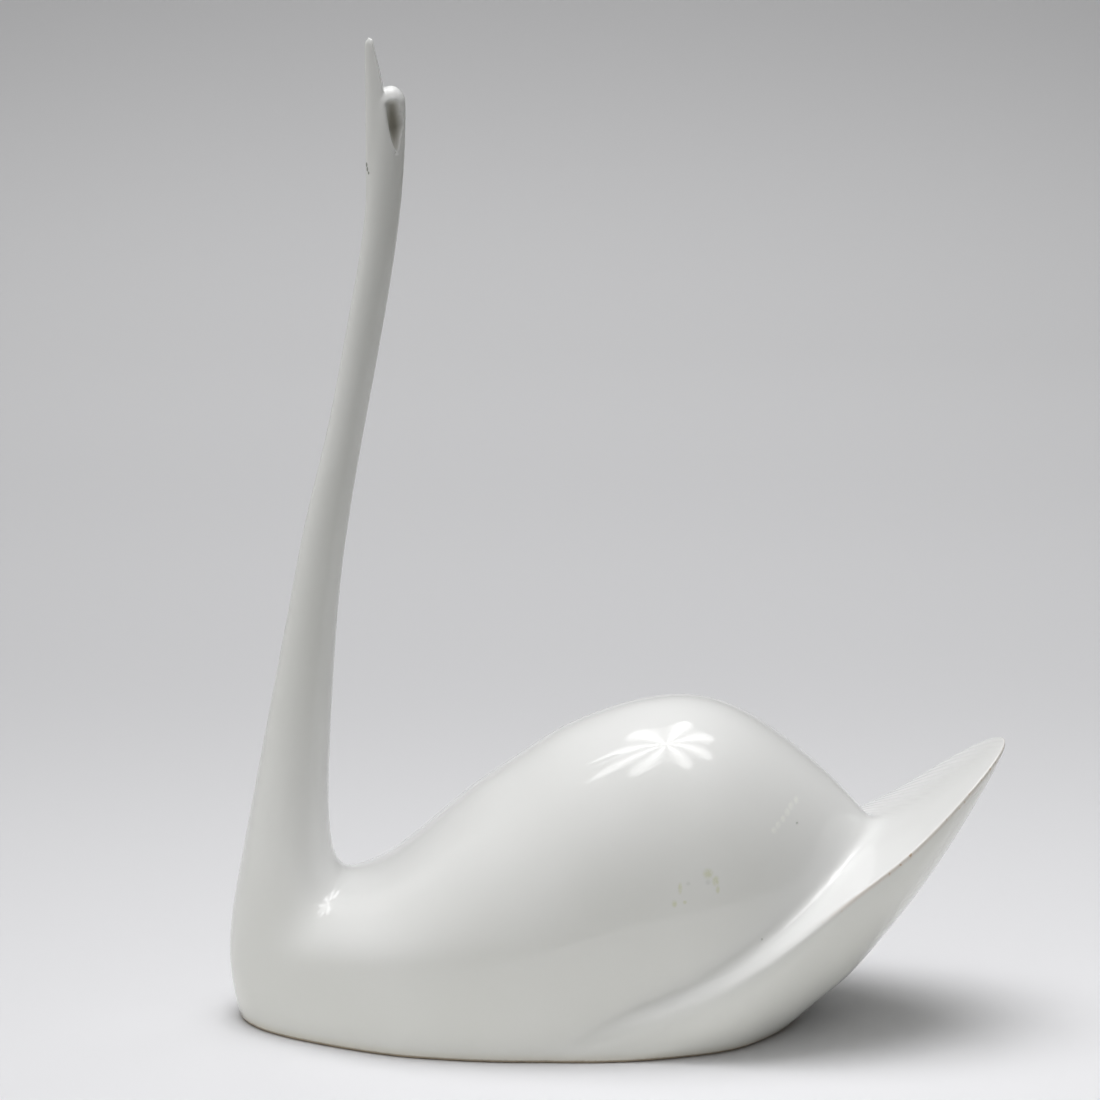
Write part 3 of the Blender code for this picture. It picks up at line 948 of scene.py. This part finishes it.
def umbrella():
    """The umbrella that the glaze mirrors, brighter between its eight ribs, and its plain fill."""
    fill = overhead("fill", FILL_POWER)
    fill.visible_glossy = False
    fill.location += FILL_SHIFT
    light = overhead("umbrella", UMBRELLA_POWER).data
    light.use_nodes = True
    nodes = Nodes(light.node_tree)
    emission = light.node_tree.nodes["Emission"]
    place = nodes.add("ShaderNodeNewGeometry").outputs["Parametric"]
    u, v, _ = nodes.split(nodes.vector("SUBTRACT", place, (0.5, 0.5, 0.0)).outputs[0])
    square = nodes.sum(nodes.product(u, u), nodes.product(v, v))
    reach = nodes.product(nodes.math("SQRT", square), 2.0)
    hub_u, hub_v, _ = nodes.split(nodes.vector("SUBTRACT", place, UMBRELLA_HUB).outputs[0])
    angle = nodes.product(nodes.math("ARCTAN2", hub_v, hub_u), RIBS)
    rib = nodes.math("ADD", nodes.product(nodes.math("COSINE", angle), 0.5), 0.5)
    edge = nodes.math("ADD", nodes.product(rib, UMBRELLA_SCALLOP), UMBRELLA_EDGE)
    inside = nodes.ramp(nodes.math("DIVIDE", reach, edge), 1.0, 0.85)
    fall = nodes.math("SUBTRACT", 1.0, nodes.product(reach, UMBRELLA_FALL))
    ribs = nodes.product(nodes.math("POWER", rib, RIB_SHARPNESS), RIB_GLOW)
    glow = nodes.math("ADD", ribs, PANEL_GLOW)
    nodes.join(nodes.product(inside, fall, glow), emission.inputs["Strength"])


def studio():
    """Dark studio with a lit ceiling and a paler wall on the left, plain grey to the camera."""
    world = bpy.data.worlds.new("studio")
    bpy.context.scene.world = world
    world.use_nodes = True
    nodes = Nodes(world.node_tree)
    background = world.node_tree.nodes["Background"]
    background.inputs["Color"].default_value = (*STUDIO_COLOUR, 1)
    x, y, z = nodes.split(nodes.add("ShaderNodeTexCoord").outputs["Generated"])
    up = nodes.math("MAXIMUM", z, 0.0)
    low = nodes.math("POWER", nodes.math("SUBTRACT", 1.0, up), 2.0)
    ceiling = nodes.product(nodes.math("POWER", up, CEILING_TIGHTNESS), CEILING)
    left = nodes.product(nodes.math("MAXIMUM", nodes.product(x, -1.0), 0.0), low, LEFT_WALL)
    back = nodes.product(nodes.math("MAXIMUM", y, 0.0), low, BACK_WALL)
    facing = nodes.product(nodes.math("MAXIMUM", nodes.product(y, -1.0), 0.0), up, 2.0)
    high = nodes.product(nodes.math("POWER", facing, 2.0), FRONT_HIGH)
    light = nodes.sum(ceiling, left, back, high)
    seen = nodes.add("ShaderNodeLightPath").outputs["Is Camera Ray"]
    unseen = nodes.product(nodes.math("SUBTRACT", 1.0, seen), light)
    strength = nodes.sum(unseen, nodes.product(seen, BACKGROUND))
    nodes.join(strength, background.inputs["Strength"])


def camera():
    data = bpy.data.cameras.new("photo_view")
    data.sensor_width = SENSOR
    data.lens = SENSOR * FOCAL_PIXELS / PHOTO_SIZE
    data.clip_start = 0.01
    piece = bpy.data.objects.new("photo_view", data)
    piece.location = CAMERA_PLACE
    piece.rotation_euler = (math.pi / 2 - CAMERA_PITCH, 0, 0)
    bpy.context.scene.collection.objects.link(piece)
    bpy.context.scene.camera = piece


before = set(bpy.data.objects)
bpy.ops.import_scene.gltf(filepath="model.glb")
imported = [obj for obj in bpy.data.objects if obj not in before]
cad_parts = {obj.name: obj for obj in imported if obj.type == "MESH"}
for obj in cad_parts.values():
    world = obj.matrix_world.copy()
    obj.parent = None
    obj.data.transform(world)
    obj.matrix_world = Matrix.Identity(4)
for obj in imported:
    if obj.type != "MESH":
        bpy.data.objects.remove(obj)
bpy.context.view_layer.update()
bpy.context.scene.view_settings.view_transform = "Standard"
camera()
swan()
sweep()
umbrella()
studio()
